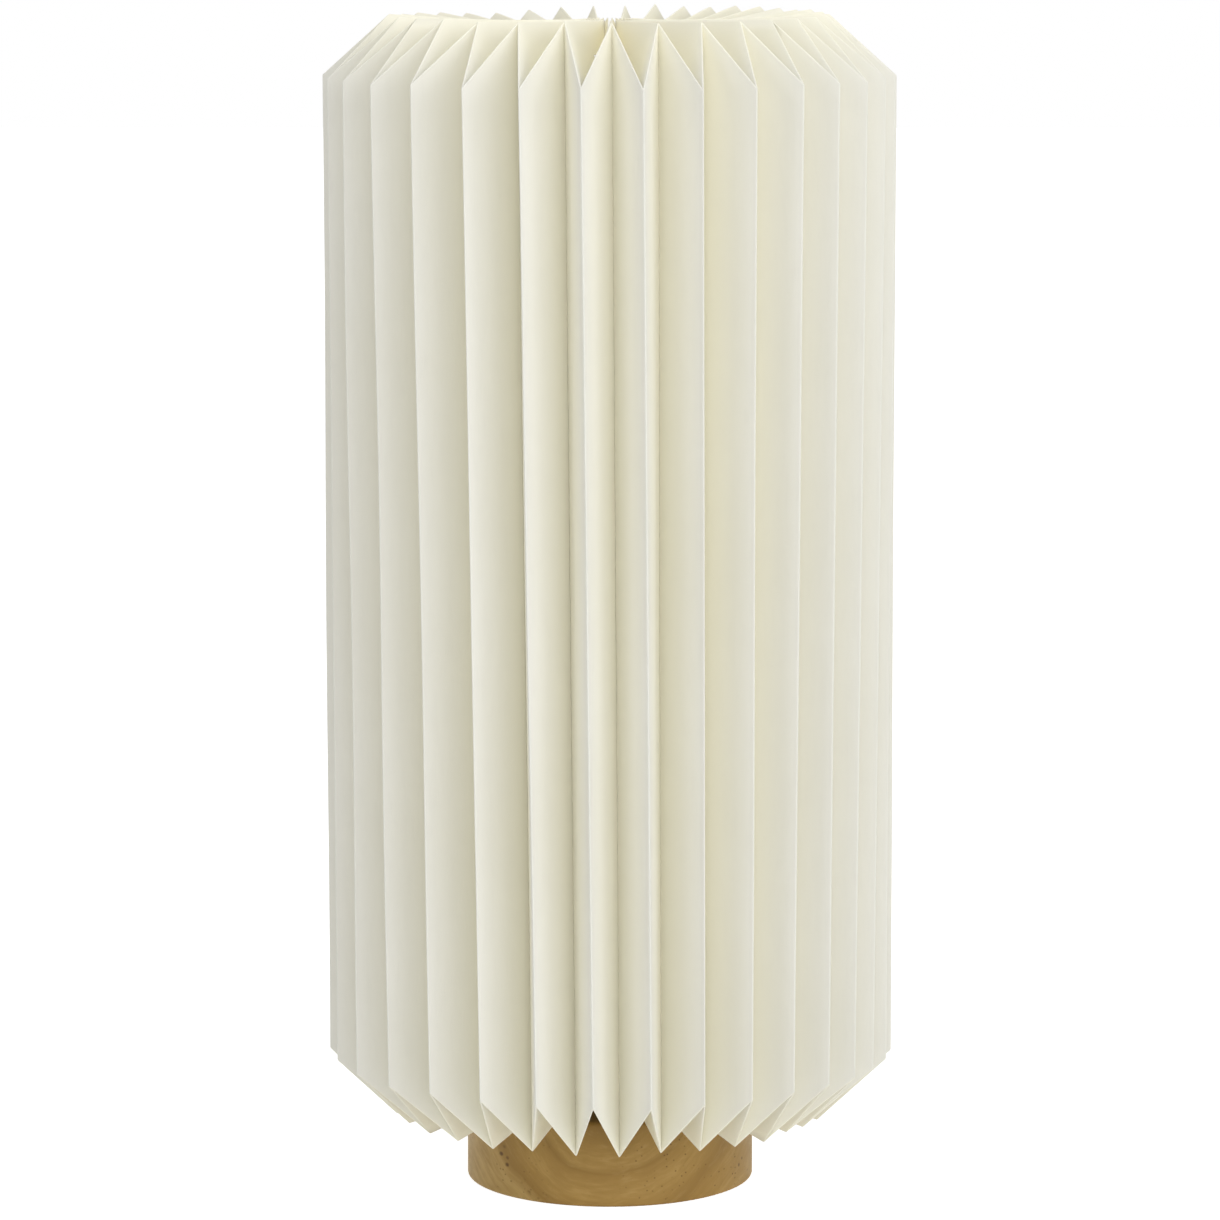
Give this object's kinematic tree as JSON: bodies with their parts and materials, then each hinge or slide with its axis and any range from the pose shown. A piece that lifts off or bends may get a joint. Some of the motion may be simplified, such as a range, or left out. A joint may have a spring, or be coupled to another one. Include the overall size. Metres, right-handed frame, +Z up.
{
  "type": "table lamp",
  "caption": "Table lamp with a tall cylindrical pleated paper shade, folded in at both ends, on a round wooden base.",
  "frame": {"origin": "centre of the base's underside, on the surface the lamp stands on", "axes": "+Z up along the lamp's axis, front towards -Y, cable inlet towards +Y"},
  "size_m": [0.2012, 0.2011, 0.4126],
  "materials": {
    "paper": "matt ivory paper",
    "paper_strip": "matt ivory paper strip",
    "wood": "waxed turned wood with arched grain",
    "hardboard": "plain hardboard",
    "felt": "dense felt",
    "steel": "zinc plated",
    "wire": "drawn wire",
    "cast_iron": "rough cast",
    "brass": "satin",
    "nickel": "nickel plated",
    "aluminium": "satin",
    "white_metal": "satin off-white paint",
    "black_plastic": "moulded",
    "white_plastic": "moulded, semi-gloss",
    "opal": "opal, frosted",
    "porcelain": "glazed",
    "black_glass": "glossy black",
    "chip": "yellow phosphor",
    "circuit_board": "solder mask"
  },
  "bodies": {
    "base": {"felt_pad": "felt", "base_cover": "hardboard", "cover_screws": "steel", "wood_base": "wood", "ballast_weight": "cast_iron", "ballast_screws": "steel", "cable_bush": "black_plastic", "threaded_nipple": "steel", "lower_nut": "steel", "lock_washer": "steel", "lower_washer": "steel", "shade_cup": "white_metal", "cup_washer": "steel", "spacer_tube": "brass", "holder_cap": "black_plastic", "holder_grub_screw": "steel", "holder_core": "porcelain", "terminal_screws": "brass", "centre_contact": "brass", "side_contact": "brass", "screw_shell": "brass", "holder_body": "black_plastic"},
    "bulb_foot": {"bulb_tip": "brass", "bulb_insulator": "black_glass"},
    "bulb": {"bulb_cap": "nickel", "bulb_housing": "white_plastic", "bulb_globe": "opal", "led_board": "aluminium", "led_chips": "chip", "driver_board": "circuit_board"},
    "shade": {"shade_sheet_1": "paper", "shade_sheet_2": "paper", "shade_sheet_3": "paper", "shade_sheet_4": "paper", "seam_strip_1": "paper_strip", "seam_strip_2": "paper_strip", "seam_strip_3": "paper_strip", "seam_strip_4": "paper_strip", "top_hoop": "wire", "bottom_hoop": "wire"}
  },
  "joints": [
    {"name": "shade_lift", "type": "slide", "parent": "base", "child": "shade", "axis": [0, 0, 1], "range_m": [0, 0.2]},
    {"name": "bulb_rise", "type": "slide", "parent": "base", "child": "bulb_foot", "axis": [0, 0, 1], "range_m": [0, 0.0182]},
    {"name": "bulb_unscrew", "type": "hinge", "parent": "bulb_foot", "child": "bulb", "pos_m": [0, 0, 0.1], "axis": [0, 0, 1], "range_deg": [0, 1800]}
  ],
  "couplings": [
    {"joint": "bulb_rise", "follows": "bulb_unscrew", "m_per_rad": 0.00057757}
  ]
}
